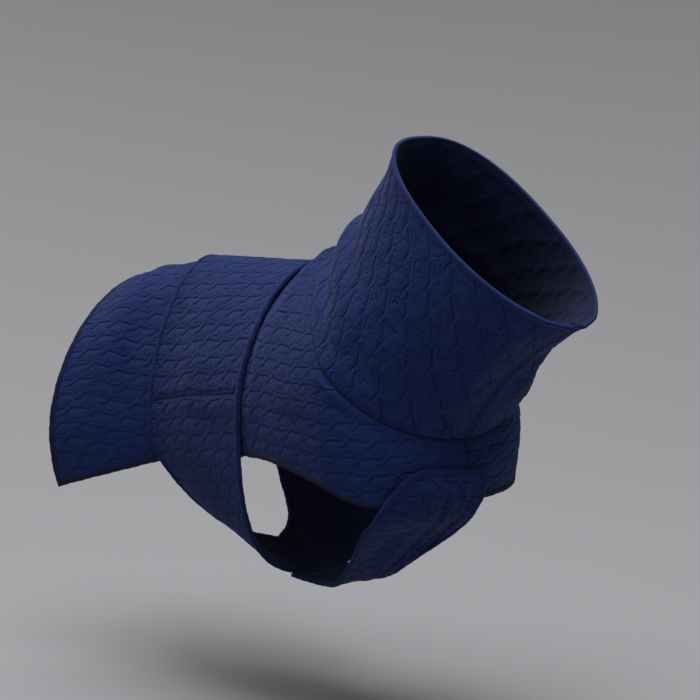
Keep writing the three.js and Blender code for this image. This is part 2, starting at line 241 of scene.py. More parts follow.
def groove_distance(quilt, kind, s, t):
    """How far places on the cloth are from the nearest such groove."""
    row = np.floor(t / quilt["pitch"])
    s = np.mod(s + row * quilt["shift"], quilt["repeat"])
    t = t - row * quilt["pitch"]
    best = np.full(len(s), GROOVE_REACH)
    for a, b in chart_pieces(quilt, kind):
        run = b - a
        share = np.clip(((s - a[0]) * run[0] + (t - a[1]) * run[1]) / (run @ run), 0, 1)
        best = np.minimum(best, np.hypot(s - a[0] - share * run[0], t - a[1] - share * run[1]))
    return best


def eased(share):
    """A share of 0 to 1 that leaves and arrives gently."""
    return share * share * (3 - 2 * share)


def bell(gap, at, wide):
    return np.exp(-((gap - at) / wide) ** 2)


def groove_height(quilt, s, t):
    firm = eased(1 - groove_distance(quilt, "firm", s, t) / GROOVE_REACH)
    faint = eased(1 - groove_distance(quilt, "faint", s, t) / GROOVE_REACH)
    return -quilt["depth"] * np.maximum(firm, FAINT * faint)


def seam_height(s, t, gap, sewn_gap, turned_gap):
    """Beside a seam the cloth stands up in small puckers, and rows of stitches sink it."""
    pucker = 0.22 * np.sin(s / 1.9 + 1.5 * np.sin(t / 7)) + 0.2 * np.sin((s + t) / 3.1 + 2 * np.sin(s / 17))
    return ((PLUMP + pucker) * bell(gap, PLUMP_AT, PLUMP_WIDE)
            - STITCHED_DEPTH * bell(sewn_gap, STITCHED_AT, STITCHED_WIDE)
            - TURNED_DEPTH * bell(turned_gap, TURNED, TURNED_WIDE))


def hand_of_cloth(s, t):
    """The quilting wanders by a millimetre or two, so that no two rows are alike."""
    return (s + 1.3 * np.sin(s / 23 + 1.3 * np.sin(t / 31)) + 1.1 * np.sin(t / 7.1 + s / 47),
            t + 1.0 * np.sin(t / 27 + 1.1 * np.sin(s / 37)) + 0.7 * np.sin(s / 8.3 + t / 29))


def crease_height(creases, s, t):
    """Soft troughs and ridges, from s, t to s, t. Each has a rise, a half width and a bow."""
    height = np.zeros(len(s))
    for s0, t0, s1, t1, rise, wide, bow in creases:
        run = np.array((s1 - s0, t1 - t0), float)
        long = np.hypot(*run)
        share = np.clip(((s - s0) * run[0] + (t - t0) * run[1]) / long**2, 0, 1)
        aside = ((t - t0) * run[0] - (s - s0) * run[1]) / long
        ahead = ((s - s0) * run[0] + (t - t0) * run[1]) / long - share * long
        swing = np.sin(math.pi * share)
        height += rise * bell(np.hypot(aside - bow * swing, ahead), 0, wide) * (0.4 + 0.6 * swing)
    return height


def creased(creases):
    """The relief of a panel that has such creases and no more."""
    return lambda s, t: crease_height(creases, s, t)


def face_ways(bm, in_lip):
    """Each vertex's outward way by its face of the cloth, with the lips left out."""
    ways = []
    for v in bm.verts:
        shown = [f for f in v.link_faces if not f[in_lip]]
        if not shown:
            beside = min((e.other_vert(v) for e in v.link_edges),
                         key=lambda n: all(f[in_lip] for f in n.link_faces))
            shown = [f for f in beside.link_faces if not f[in_lip]] or v.link_faces
        ways.append(sum((f.normal for f in shown), Vector()).normalized())
    return ways


def gap_to(seam, verts):
    """How far each vertex is from a seam, given as points about a millimetre apart."""
    if not seam:
        return np.full(len(verts), FAR)
    tree = KDTree(2 * len(seam))
    for i, point in enumerate(seam):
        tree.insert(point, 2 * i)
        tree.insert((point[0], -point[1], point[2]), 2 * i + 1)
    tree.balance()
    return np.array([tree.find(v.co)[2] for v in verts])


def cloth_sheet(name, columns, rows, form, quilt, relief, seam, sewn_down=(), turned=(), mirrored=False):
    """A quilted panel. A grid is laid on the form, which gives each place in space and on
    the cloth, and whether it is in a seam's lip. A panel that crosses the ridge is mirrored
    there. Then the grooves and the relief are sunk into it, square to its face, and it is
    given its thickness. Each place keeps how far it is from a seam, from one with stitches
    beside it and from a turned edge, for the material."""
    bm = bmesh.new()
    bmesh.ops.create_grid(bm, x_segments=columns, y_segments=rows, size=0.5)
    cloth = bm.loops.layers.uv.new("cloth")
    in_lip = bm.faces.layers.int.new("in_lip")
    spots = {}
    for v in bm.verts:
        v.co, *spots[v] = form(v.co.x + 0.5, v.co.y + 0.5)
    for face in bm.faces:
        face[in_lip] = any(spots[v][2] for v in face.verts)
        for loop in face.loops:
            s, t, _ = spots[loop.vert]
            loop[cloth].uv = s / 1000, 0.5 - t / 1000 if mirrored else 0.5 + t / 1000
    bmesh.ops.remove_doubles(bm, verts=bm.verts[:], dist=0.01)
    if mirrored:
        bmesh.ops.mirror(bm, geom=bm.verts[:] + bm.edges[:] + bm.faces[:], axis="Y",
                         merge_dist=0.02, mirror_v=True)
    bmesh.ops.recalc_face_normals(bm, faces=bm.faces[:])
    bm.verts.index_update()
    s, t = np.zeros(len(bm.verts)), np.zeros(len(bm.verts))
    for face in bm.faces:
        for loop in face.loops:
            s[loop.vert.index] = loop[cloth].uv[0] * 1000
            t[loop.vert.index] = (loop[cloth].uv[1] - 0.5) * 1000
    s_sewn, t_sewn = hand_of_cloth(s, t)
    gap, sewn_gap, turned_gap = (gap_to(line, bm.verts) for line in (seam, sewn_down, turned))
    gaps = bm.verts.layers.float_vector.new("gaps")
    for v, *three in zip(bm.verts, gap, sewn_gap, turned_gap):
        v[gaps] = three
    free = eased(np.clip(gap / SEAM_REACH, 0, 1))
    unpressed = np.clip((turned_gap - TURNED_CLEAR) / 4, 0, 1)
    height = (free * (relief(s, t) + unpressed * groove_height(quilt, s_sewn, t_sewn))
              - SEAM_DEPTH * (1 - free) + seam_height(s, t, gap, sewn_gap, turned_gap))
    bm.normal_update()
    ways = face_ways(bm, in_lip)
    for v, way, rise in zip(bm.verts, ways, height):
        v.co = (v.co + way * float(rise)) / 1000
    for face in bm.faces:
        face.smooth = True
        for loop in face.loops:
            i = loop.vert.index
            loop[cloth].uv = s_sewn[i] / 1000, 0.5 + t_sewn[i] / 1000
    piece = finished(name, bm)
    wall = piece.modifiers.new("cloth thickness", "SOLIDIFY")
    wall.thickness = CLOTH / 1000
    wall.offset = -1
    wall.material_offset = 1
    return piece


def finished(name, bm):
    """The mesh as an object of the scene, placed by its vertices."""
    mesh = bpy.data.meshes.new(name)
    bm.to_mesh(mesh)
    bm.free()
    piece = bpy.data.objects.new(name, mesh)
    bpy.context.scene.collection.objects.link(piece)
    return piece


LEVEL_BY = 80.0       # in front of the band the quilting runs level from this far down


def wide_down(along):
    """From a section's top edge to its widest line, down the cloth."""
    return trunk.path(along)[0][UPPER_STEPS - 1]


def body_down(along, down):
    """Where a place lies across the rows of quilting: down the cloth from the ridge, with
    the rows eased level in front of the band, however the neck rises above them."""
    def level(start, end):
        return (wide_down(start) - wide_down(end)
                + read(BODY, "wide_up", start) - read(BODY, "wide_up", end))

    from_ridge = down
    if along > NECK["back"]:
        from_ridge += top_edge(along)[0]
        down += level(NECK["back"], along)
    rise = level(BAND_FRONT, min(max(along, BAND_FRONT), NECK["back"]))
    return down + rise * eased(min(1.0, from_ridge / LEVEL_BY))


# Columns of the body's grid: up to the neck seam, along the neck, round the breast.
BACK_COLUMNS, NECK_COLUMNS, BREAST_COLUMNS, BODY_ROWS = 116, 40, 56, 98
BODY_COLUMNS = BACK_COLUMNS + NECK_COLUMNS + BREAST_COLUMNS
THROAT_ROOM = 0.1     # each edge of the throat seam lies this far from the middle


def body_station(column):
    if column <= BACK_COLUMNS:
        return TAIL + TUCK + (NECK["back"] - TAIL - TUCK) * column / BACK_COLUMNS
    if column <= BACK_COLUMNS + NECK_COLUMNS:
        # the seam leaves the ridge square to it, so the first turn is a wider one
        turn = (column - BACK_COLUMNS + 2) / (NECK_COLUMNS + 2) * math.pi / 2
        return HINGE - (HINGE - NECK["back"]) * max(0.0, math.cos(turn)) ** (2 / NECK["egg"])
    return HINGE + BREAST_ARC * (column - BACK_COLUMNS - NECK_COLUMNS) / BREAST_COLUMNS


neck_way = Vector((NECK["back_up"] - NECK["front_up"], 0, NECK["front"] - NECK["back"])).normalized()
neck_middle = Vector(((NECK["back"] + NECK["front"]) / 2, 0, (NECK["back_up"] + NECK["front_up"]) / 2))


def into_neck(point):
    """From a place on the neck seam, square into the neck in the seam's plane."""
    away = point - neck_middle
    return -(away - neck_way * away.dot(neck_way)).normalized()


def body_form(across, up):
    """The first row and the last column are the lips that turn in at the seams."""
    column, row = across * (BODY_COLUMNS + 1), (1 - up) * (BODY_ROWS + 1)
    along = round(body_station(min(column, BODY_COLUMNS)), 4)
    down = max(0.0, row - 1) / BODY_ROWS * (trunk.length(along) - TUCK)
    point = trunk.at(along, down)
    neck_lip = along > NECK["back"] + 0.01 and row < 0.5
    throat_lip = column > BODY_COLUMNS + 0.5
    if neck_lip:
        point += into_neck(point) * LIP
    if throat_lip:
        point.x -= LIP
        point.y = -CROSSED
    elif column > BODY_COLUMNS - 0.5:
        point.y = THROAT_ROOM
    return point, along, body_down(along, down), neck_lip or throat_lip


# Troughs and ridges: from along, down, to along, down, rise, half width, bow. Down is
# negative on the wearer's left.
BODY_CREASES = [
    (-150, 58, -146, 150, -4.0, 13, 2),
    (-158, -70, -158, 70, -1.2, 14, 0),
    (-186, -46, -184, 44, -1.8, 6, 3),
    (-198, 96, -176, 158, -1.8, 9, -4),
    (-180, 40, -158, 112, 1.6, 13, -5),
    (-100, 60, -20, 64, -0.8, 10, 3),
    (4, 60, 14, 128, 1.0, 6, -2),
    (98, 100, 172, 134, 2.2, 5, -3),
    (104, 116, 176, 148, -1.4, 6, -3),
    (30, 120, 84, 136, -1.2, 9, 4),
    (176, 144, 207, 150, -1.2, 4, 1),
    (-152, -52, -143, -132, -3.6, 13, 3),
    (-190, -84, -170, -160, -1.8, 10, 4),
    (-176, -44, -160, -100, 1.8, 12, 4),
    (6, -70, 12, -120, 1.0, 6, 2),
    (96, -102, 168, -131, 2.0, 5, 3),
    (108, -116, 170, -146, -1.4, 7, 3),
    (26, -112, 90, -130, -1.3, 9, -4),
    (180, -146, 206, -151, -1.0, 4, -1),
]
BAND_PRESS = 0.5      # the girth band presses the body down by this much


def body_relief(s, t):
    under_band = 1 / (1 + np.exp(-(s - BAND_REAR - 4) / 2)) / (1 + np.exp((s - BAND_FRONT + 6) / 2))
    return crease_height(BODY_CREASES, s, t) - BAND_PRESS * under_band


def neck_ring(turn):
    """Neck seam on the wearer's left: turn 0 at the withers, pi at the breastbone."""
    back, across = math.cos(turn), math.sin(turn)
    if back > 0:
        x = HINGE - (HINGE - NECK["back"]) * back ** (2 / NECK["egg"])
        return Vector((x, NECK["half"] * power(across, 2 / NECK["egg"]), neck_up(x)))
    x = HINGE - BREAST_DEPTH * back
    return Vector((x, NECK["half"] * across, neck_up(x)))


neck_seam = [neck_ring(turn) for turn in np.linspace(0, math.pi, 320)]
throat_seam = [trunk.at(BREASTBONE, down) for down in np.linspace(0, trunk.length(BREASTBONE), 60)]


# Cotton double jersey, knitted fine and dyed navy. The eye sees a matt, faintly mottled face
# with a short nap that pales at a slant. Each stitched groove is darkened as painted shade.
NAVY = "#132656"
NAVY_PALE = "#1b3062"
# the deepest navy is painted shade, laid into the grooves, creases and seams
GROOVE_SHADE_NAVY = "#05124a"


def linear(code):
    """An sRGB hex colour as the linear one that shaders take."""
    parts = [int(code[i:i + 2], 16) / 255 for i in (1, 3, 5)]
    return [p / 12.92 if p <= 0.04045 else ((p + 0.055) / 1.055) ** 2.4 for p in parts] + [1]


def add(tree, kind, inputs=None, **settings):
    """Adds a node with its settings, and gives its outputs. An input is a value or an output."""
    node = tree.nodes.new(kind)
    for key, value in settings.items():
        setattr(node, key, value)
    for key, value in (inputs or {}).items():
        if isinstance(value, bpy.types.NodeSocket):
            tree.links.new(value, node.inputs[key])
        else:
            node.inputs[key].default_value = value
    return node.outputs


def new_material(name, **sockets):
    material = bpy.data.materials.new(name)
    material.use_nodes = True
    shader = material.node_tree.nodes["Principled BSDF"]
    for key, value in sockets.items():
        shader.inputs[key.replace("_", " ")].default_value = value
    return material, material.node_tree, shader


NAP = {"Roughness": 0.88, "Specular_IOR_Level": 0.15, "Sheen_Weight": 0.12,
       "Sheen_Roughness": 0.5, "Sheen_Tint": linear("#a6a6c8")}
MATH, VECTOR_MATH, MAP_RANGE = "ShaderNodeMath", "ShaderNodeVectorMath", "ShaderNodeMapRange"
SHADE_LINE_SPAN = (0.1, 1.35)    # a groove's painted shade is darkest, and gone, this far from it


def place_in_chart(tree, cloth, quilt):
    """Carries each place on the cloth back to the chart's first cell."""
    parts = add(tree, "ShaderNodeSeparateXYZ", {0: cloth})
    s = add(tree, MATH, {0: parts[0], 1: 1000.0}, operation="MULTIPLY")[0]
    t = add(tree, MATH, {0: parts[1], 1: 1000.0, 2: -500.0}, operation="MULTIPLY_ADD")[0]
    rows = add(tree, MATH, {0: t, 1: quilt["pitch"]}, operation="DIVIDE")[0]
    row = add(tree, MATH, {0: rows}, operation="FLOOR")[0]
    shifted = add(tree, MATH, {0: row, 1: quilt["shift"], 2: s}, operation="MULTIPLY_ADD")[0]
    s_cell = add(tree, MATH, {0: shifted, 1: quilt["repeat"]}, operation="FLOORED_MODULO")[0]
    row_start = add(tree, MATH, {0: row, 1: quilt["pitch"]}, operation="MULTIPLY")[0]
    t_cell = add(tree, MATH, {0: t, 1: row_start}, operation="SUBTRACT")[0]
    return add(tree, "ShaderNodeCombineXYZ", {0: s_cell, 1: t_cell})[0]


def nearest_groove(tree, here, pieces):
    """How far a place in the chart is from the nearest straight piece of a groove."""
    nearest = None
    for a, b in pieces:
        long = float(np.hypot(*(b - a)))
        way = (*((b - a) / long), 0.0)
        off = add(tree, VECTOR_MATH, {0: here, 1: (*a, 0.0)}, operation="SUBTRACT")[0]
        run = add(tree, VECTOR_MATH, {0: off, 1: way}, operation="DOT_PRODUCT")[1]
        held = add(tree, "ShaderNodeClamp", {0: run, 1: 0.0, 2: long})[0]
        foot = add(tree, VECTOR_MATH, {0: way, 3: held}, operation="SCALE")[0]
        gap = add(tree, VECTOR_MATH, {0: off, 1: foot}, operation="DISTANCE")[1]
        if nearest is not None:
            gap = add(tree, MATH, {0: nearest, 1: gap}, operation="MINIMUM")[0]
        nearest = gap
    return nearest


def quilted_jersey(name, quilt):
    material, tree, shader = new_material(name, **NAP)
    cloth = add(tree, "ShaderNodeUVMap", uv_map="cloth")[0]
    here = place_in_chart(tree, cloth, quilt)
    # the knit's loops are 0.5 mm apart, drawn here at about 1 mm so that they show
    knit = add(tree, "ShaderNodeTexNoise", {"Vector": cloth, "Scale": 1000.0, "Detail": 2.0})[0]
    mottle = add(tree, "ShaderNodeTexNoise", {"Vector": cloth, "Scale": 30.0, "Detail": 3.0})[0]
    patchy = add(tree, "ShaderNodeTexNoise", {"Vector": cloth, "Scale": 130.0, "Detail": 1.0})[0]
    # each groove's painted shade has a ragged edge, and is stronger here and there
    fray = add(tree, MATH, {0: knit, 1: 0.7, 2: -0.35}, operation="MULTIPLY_ADD")[0]
    grooves = {}
    for kind, low, high in (("firm", 0.55, 1.0), ("faint", 0.15, 0.75)):
        gap = nearest_groove(tree, here, chart_pieces(quilt, kind))
        ragged = add(tree, MATH, {0: gap, 1: fray}, operation="ADD")[0]
        groove_shade = add(tree, MAP_RANGE, {0: ragged, 1: SHADE_LINE_SPAN[0], 2: SHADE_LINE_SPAN[1], 3: 1.0, 4: 0.0},
                     interpolation_type="SMOOTHSTEP")[0]
        pull = add(tree, MAP_RANGE, {0: patchy, 1: 0.38, 2: 0.62, 3: low, 4: high})[0]
        grooves[kind] = add(tree, MATH, {0: groove_shade, 1: pull}, operation="MULTIPLY")[0]
    line = add(tree, MATH, {0: grooves["firm"], 1: grooves["faint"]}, operation="MAXIMUM")[0]
    # between the grooves the wadding creases the face in short crooked ticks, 6 mm apart, with painted
    # shade in them
    crazing = add(tree, "ShaderNodeTexVoronoi", {"Vector": cloth, "Scale": 165.0},
                  feature="DISTANCE_TO_EDGE")[0]
    tick = add(tree, MAP_RANGE, {0: crazing, 1: 0.02, 2: 0.16, 3: 1.0, 4: 0.0},
               interpolation_type="SMOOTHSTEP")[0]
    some = add(tree, MAP_RANGE, {0: patchy, 1: 0.42, 2: 0.6, 3: 0.45, 4: 0.0})[0]
    tick = add(tree, MATH, {0: tick, 1: some}, operation="MULTIPLY")[0]
    line = add(tree, MATH, {0: line, 1: tick}, operation="MAXIMUM")[0]
    # shallow quilting shows less, some patches of any quilting too, and a pressed edge none
    gaps = add(tree, "ShaderNodeAttribute", attribute_name="gaps")["Vector"]
    from_seam, from_sewn, from_turned = add(tree, "ShaderNodeSeparateXYZ", {0: gaps})
    clear = add(tree, MAP_RANGE, {0: from_turned, 1: TURNED_CLEAR, 2: TURNED_CLEAR + 1})[0]
    ease = add(tree, MAP_RANGE, {0: mottle, 1: 0.36, 2: 0.6, 3: 0.55, 4: 1.0})[0]
    ease = add(tree, MATH, {0: ease, 1: quilt["depth"] / FULL_DEPTH}, operation="MULTIPLY")[0]
    line = add(tree, MATH, {0: line, 1: clear}, operation="MULTIPLY")[0]
    line = add(tree, MATH, {0: line, 1: ease}, operation="MULTIPLY")[0]
    # a seam's crevice shows as a dark line of painted shade, and so do the rows of stitches beside seams
    # and edges
    for gap, at, wide, strength in ((from_seam, 0.0, 0.9, 0.8), (from_sewn, STITCHED_AT, 1.0, 0.75),
                                    (from_turned, TURNED, 0.8, 0.2)):
        off = add(tree, MATH, {0: gap, 1: at}, operation="SUBTRACT")[0]
        off = add(tree, MATH, {0: off}, operation="ABSOLUTE")[0]
        sewn = add(tree, MAP_RANGE, {0: off, 1: SHADE_LINE_SPAN[0], 2: wide, 3: strength, 4: 0.0},
                   interpolation_type="SMOOTHSTEP")[0]
        line = add(tree, MATH, {0: line, 1: sewn}, operation="MAXIMUM")[0]
    pale = add(tree, MAP_RANGE, {0: mottle, 1: 0.35, 2: 0.7, 3: 0.0, 4: 0.6})[0]
    face = add(tree, "ShaderNodeMix", {0: pale, 6: linear(NAVY), 7: linear(NAVY_PALE)},
               data_type="RGBA")[2]
    # the lines darken the face as painted shade in the grooves, creases and seams, and the bump below sinks
    # them
    painted_shade = add(tree, MATH, {0: line, 1: 0.85}, operation="MULTIPLY")[0]
    base = add(tree, "ShaderNodeMix", {0: painted_shade, 6: face, 7: linear(GROOVE_SHADE_NAVY)}, data_type="RGBA")[2]
    tree.links.new(base, shader.inputs["Base Color"])
    nap = add(tree, "ShaderNodeBump", {"Strength": 0.3, "Distance": 0.0004, "Height": knit})[0]
    sunk = add(tree, MATH, {0: line, 1: -1.0}, operation="MULTIPLY")[0]
    relief = add(tree, "ShaderNodeBump", {"Strength": 1.0, "Distance": 0.0012, "Height": sunk,
                                          "Normal": nap})[0]
    tree.links.new(relief, shader.inputs["Normal"])
    return material


def plain_jersey(name, code, sockets, loops=1000.0):
    """Jersey with no quilting. The eye sees its colour, a fine knit and a soft mottle."""
    material, tree, shader = new_material(name, **sockets)
    where = add(tree, "ShaderNodeTexCoord")["Object"]
    knit = add(tree, "ShaderNodeTexNoise", {"Vector": where, "Scale": loops, "Detail": 2.0})[0]
    mottle = add(tree, "ShaderNodeTexNoise", {"Vector": where, "Scale": 40.0, "Detail": 2.0})[0]
    shade = add(tree, "ShaderNodeMapRange", {0: mottle, 1: 0.3, 2: 0.75, 3: 0.75, 4: 1.25})[0]
    base = add(tree, "ShaderNodeMix", {0: 1.0, 6: linear(code), 7: shade},
               data_type="RGBA", blend_type="MULTIPLY")[2]
    tree.links.new(base, shader.inputs["Base Color"])
    nap = add(tree, "ShaderNodeBump", {"Strength": 0.3, "Distance": 0.0004, "Height": knit})[0]
    tree.links.new(nap, shader.inputs["Normal"])
    return material


lengthwise_jersey = quilted_jersey("quilted double jersey, rows lengthwise", BODY_QUILT)
# The jersey's unquilted back. The eye sees the same knit, flat, and darker as painted shade for the inside
# of the coat.
inner_jersey = plain_jersey("inner face of the double jersey", "#0f1838", NAP)

coat_body = cloth_sheet("coat_body_cloth", BODY_COLUMNS + 1, BODY_ROWS + 1, body_form, BODY_QUILT,
                        body_relief, neck_seam + throat_seam, sewn_down=throat_seam, mirrored=True)


def ready(piece, node, slot, *materials):
    """Gives a piece its materials, and its place in the part."""
    for material in materials:
        piece.data.materials.append(material)
    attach(piece, "root")
    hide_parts(node)


ready(coat_body, "coat_body", "quilt", lengthwise_jersey, inner_jersey)


# ======================================================================================
# HEM BINDING. A plain stretch tape, folded over the raw edge and sewn through with one
# line of stitches. It goes from the throat back along the hem, up the rear edge, over the
# ridge and home again.
# ======================================================================================
TRIM = 5.0              # the tape covers this much of the panel
BINDING_RISE = 0.6      # and stands this far out of it on each face
BINDING_SQUARE = 2.6    # superellipse power of the folded tape
PULL = 0.05             # its stitches draw it in by this share, more and less in turn
PULL_TURN = 3.4 / 2.2   # radians of that from one step to the next
HEM_STEPS, CORNER_STEPS, REAR_STEPS, ROUND_STEPS = 240, 6, 100, 14


def bound_edge(name, steps, pair, mirrored=False, lift=0.0):
    """Binding swept along pairs of points, one on the edge and one in the panel, with
    their outward way. A grid is rolled round them and its doubles are merged."""
    bm = bmesh.new()
    bmesh.ops.create_grid(bm, x_segments=steps, y_segments=ROUND_STEPS, size=0.5)
    pairs = {}
    for v in bm.verts:
        i = round((v.co.x + 0.5) * steps)
        if i not in pairs:
            pairs[i] = pair(i / steps)
        edge, inner, way = pairs[i]
        angle = -(v.co.y + 0.5) * 2 * math.pi
        bend = 2 / BINDING_SQUARE
        c, s = math.cos(angle), math.sin(angle)
        over = math.copysign(abs(c) ** bend, c)
        high = math.copysign(abs(s) ** bend, s)
        run = i * PULL_TURN
        pull = 1 - PULL * math.sin(run) - PULL * math.sin(0.37 * run + 1)
        deep = (CLOTH + 2 * BINDING_RISE) / 2
        v.co = ((edge + inner) / 2 + (inner - edge) / 2 * over * pull
                + way * (lift - CLOTH / 2 + deep * high * pull))
    bmesh.ops.remove_doubles(bm, verts=bm.verts[:], dist=0.02)
    if mirrored:
        bmesh.ops.mirror(bm, geom=bm.verts[:] + bm.edges[:] + bm.faces[:], axis="Y", merge_dist=0.05)
    bmesh.ops.holes_fill(bm, edges=[e for e in bm.edges if e.is_boundary])
    bmesh.ops.recalc_face_normals(bm, faces=bm.faces[:])
    for face in bm.faces:
        face.smooth = True
    bmesh.ops.scale(bm, vec=(0.001, 0.001, 0.001), verts=bm.verts[:])
    return finished(name, bm)


def trunk_pair(edge, inner):
    """Two places on the body, with the way between their outward ways."""
    way = trunk.way(*edge) + trunk.way(*inner)
    return trunk.at(*edge), trunk.at(*inner), way.normalized()


def hem_pair(share):
    step = share * (HEM_STEPS + REAR_STEPS)
    if step <= HEM_STEPS:
        along = BREASTBONE + (TAIL - BREASTBONE) * step / HEM_STEPS
        inner = max(along, TAIL + TRIM * min(1, (step - HEM_STEPS) / CORNER_STEPS + 1))
        hem = trunk.length(along)
        edge, inner, way = trunk_pair((along, hem), (inner, trunk.length(inner) - TRIM))
    else:
        up = (step - HEM_STEPS) / REAR_STEPS
        down = (1 - up) * trunk.length(TAIL)
        low = min(down, trunk.length(TAIL + TRIM) - TRIM)
        edge, inner, way = trunk_pair((TAIL, down), (TAIL + TRIM, low))
    if share == 0.0 or share == 1.0:
        edge.y = inner.y = way.y = 0.0
        way.normalize()
    return edge, inner, way


# Narrow stretch tape with a finer thread than the jersey's. The eye sees a closer, smoother
# face, a shade nearer to black.
stretch_binding = plain_jersey("stretch binding tape", "#15193a", {
    "Roughness": 0.8, "Specular_IOR_Level": 0.2, "Sheen_Weight": 0.08,
    "Sheen_Roughness": 0.4, "Sheen_Tint": linear("#a6a6bc")}, loops=1400.0)

hem_binding = bound_edge("hem_binding_tape", HEM_STEPS + REAR_STEPS, hem_pair, mirrored=True)
ready(hem_binding, "hem_binding", "binding", stretch_binding)


# ======================================================================================
# COLLAR. A tall funnel of the same jersey, cut on the bias so that it stretches, sewn to
# the neck of the body and closed by one seam down the throat. Its rim is turned in.
# ======================================================================================
RIM = {"back": 104.0, "back_up": 98.5, "front": 256.0, "front_up": -22.5, "half": 57.0, "square": 2.5}
COLLAR_WAIST = ("degrees drawn_in", [(0, 6), (120, 6), (180, 12)])
COLLAR_COLUMNS, COLLAR_ROWS = 300, 80
COLLAR_BIAS = math.radians(40)    # the cloth's grain, against the collar's own height
FOOT_ROOM = 0.2           # the collar's foot stands this far off the body's edge

COLLAR_QUILT = {
    "repeat": 19.5, "pitch": 16.5, "shift": 0.0, "depth": 0.8,
    "firm": [
        [(-4.1, 0.2), (9.6, 0.0), (13.6, -3.7)],
    ],
    "faint": [
        [(13.6, -3.7), (17.4, -4.9)],
        [(-3.0, 3.6), (4.4, 3.9)],
        [(3.2, 5.9), (0.8, 7.4), (3.0, 9.6)],
    ],
}

rim_middle = Vector(((RIM["back"] + RIM["front"]) / 2, 0, (RIM["back_up"] + RIM["front_up"]) / 2))
throat_way = (rim_middle - neck_middle).normalized()


def rim_ring(turn):
    """The rim on the wearer's left, with its turns as on the neck seam."""
    back, across = math.cos(turn), math.sin(turn)
    bend = 2 / RIM["square"] if back > 0 else 1
    share = (1 + math.copysign(abs(back) ** bend, back)) / 2
    return Vector((RIM["front"] + share * (RIM["back"] - RIM["front"]),
                   RIM["half"] * power(across, bend),
                   RIM["front_up"] + share * (RIM["back_up"] - RIM["front_up"])))


def collar_at(turn, down):
    """A place round the collar and down it, as a share of the way from rim to neck seam."""
    base = neck_ring(abs(turn))
    point = rim_ring(abs(turn)).lerp(base, down)
    out = point - neck_middle
    out = (out - throat_way * out.dot(throat_way)).normalized()
    drawn_in = read(COLLAR_WAIST, "drawn_in", math.degrees(abs(turn)))
    point -= out * drawn_in * 4 * down * (1 - down)
    point.y *= math.copysign(1, turn)
    return point


into_throat = -(collar_at(math.pi, 0.5) - (neck_middle + rim_middle) / 2)
into_throat = (into_throat - throat_way * into_throat.dot(throat_way)).normalized()
collar_turns = np.linspace(0, math.pi, 181)
collar_middle = [collar_at(turn, 0.5) for turn in collar_turns]
collar_runs = np.cumsum([0] + [(b - a).length for a, b in zip(collar_middle, collar_middle[1:])])
HALF_COLLAR = float(collar_runs[-1])


def collar_form(across, up):
    """Even round the collar's middle line, which starts and ends at the throat. The first
    and last columns and the last row are lips that turn in at the seams."""
    column, row = across * (COLLAR_COLUMNS + 2) - 1, (1 - up) * (COLLAR_ROWS + 1)
    throat_lip = abs(column - COLLAR_COLUMNS / 2) > COLLAR_COLUMNS / 2 + 0.5
    foot_lip = row > COLLAR_ROWS + 0.5
    share = min(max(column / COLLAR_COLUMNS, 0.0), 1.0)
    round_way = (share - 0.5) * 2 * HALF_COLLAR
    turn = float(np.interp(abs(round_way), collar_runs, collar_turns))
    turn = math.copysign(turn, round_way)
    down = min(row / COLLAR_ROWS, 1.0)
    point = collar_at(turn, down)
    if share in (0.0, 1.0):
        point.y = math.copysign(THROAT_ROOM, turn)
    if throat_lip:
        point += into_throat * LIP
        point.y = -math.copysign(CROSSED, turn)
    if foot_lip:
        point += into_neck(point) * LIP
    point += neck_way * FOOT_ROOM * down
    height = (rim_ring(abs(turn)) - neck_ring(abs(turn))).length
    below, ahead = (down - 0.5) * height, -round_way
    return (point, below * math.cos(COLLAR_BIAS) + ahead * math.sin(COLLAR_BIAS),
            ahead * math.cos(COLLAR_BIAS) - below * math.sin(COLLAR_BIAS), foot_lip or throat_lip)


# From down, round, to down, round, rise, half width, bow. Round is 0 at the nape, and
# positive on the wearer's right.
COLLAR_CREASES = [
    (9, -100, 9, 100, -2.8, 9, 0),
    (27, -124, 27, 120, 3.6, 11, 3),
    (45, -80, 44, 84, -4.2, 7, 2),
    (-34, -110, -36, 106, -2.0, 16, 4),
    (0, -216, 54, -200, 7.0, 11, 0),
    (66, 224, -70, 210, 1.3, 5, 2),
    (66, -226, -66, -212, 1.4, 5, -3),
    (30, 214, 4, 236, -0.8, 3, 2),
    (-6, 210, -28, 230, -0.8, 3, 2),
    (46, 222, 34, 237, -0.7, 3, 0),
    (36, -216, 12, -236, -0.8, 3, -2),
    (0, -212, -22, -232, -0.8, 3, 2),
    (56, 96, 44, 176, -1.5, 7, 5),
    (58, -90, 42, -170, -1.6, 8, -5),
]


def collar_relief(s, t):
    below = s * math.cos(COLLAR_BIAS) - t * math.sin(COLLAR_BIAS)
    ahead = s * math.sin(COLLAR_BIAS) + t * math.cos(COLLAR_BIAS)
    return crease_height(COLLAR_CREASES, below, ahead)


# The same jersey on the bias. The eye sees its strokes hang upright though the neck leans.
upright_jersey = quilted_jersey("quilted double jersey, strokes upright", COLLAR_QUILT)
throat_line = [collar_at(math.pi, down) for down in np.linspace(0, 1, 140)]
collar = cloth_sheet("collar_cloth", COLLAR_COLUMNS + 2, COLLAR_ROWS + 1, collar_form, COLLAR_QUILT,
                     collar_relief, neck_seam + throat_line, sewn_down=throat_line,
                     turned=[rim_ring(turn) for turn in np.linspace(0, math.pi, 400)])
ready(collar, "collar", "quilt", upright_jersey, inner_jersey)


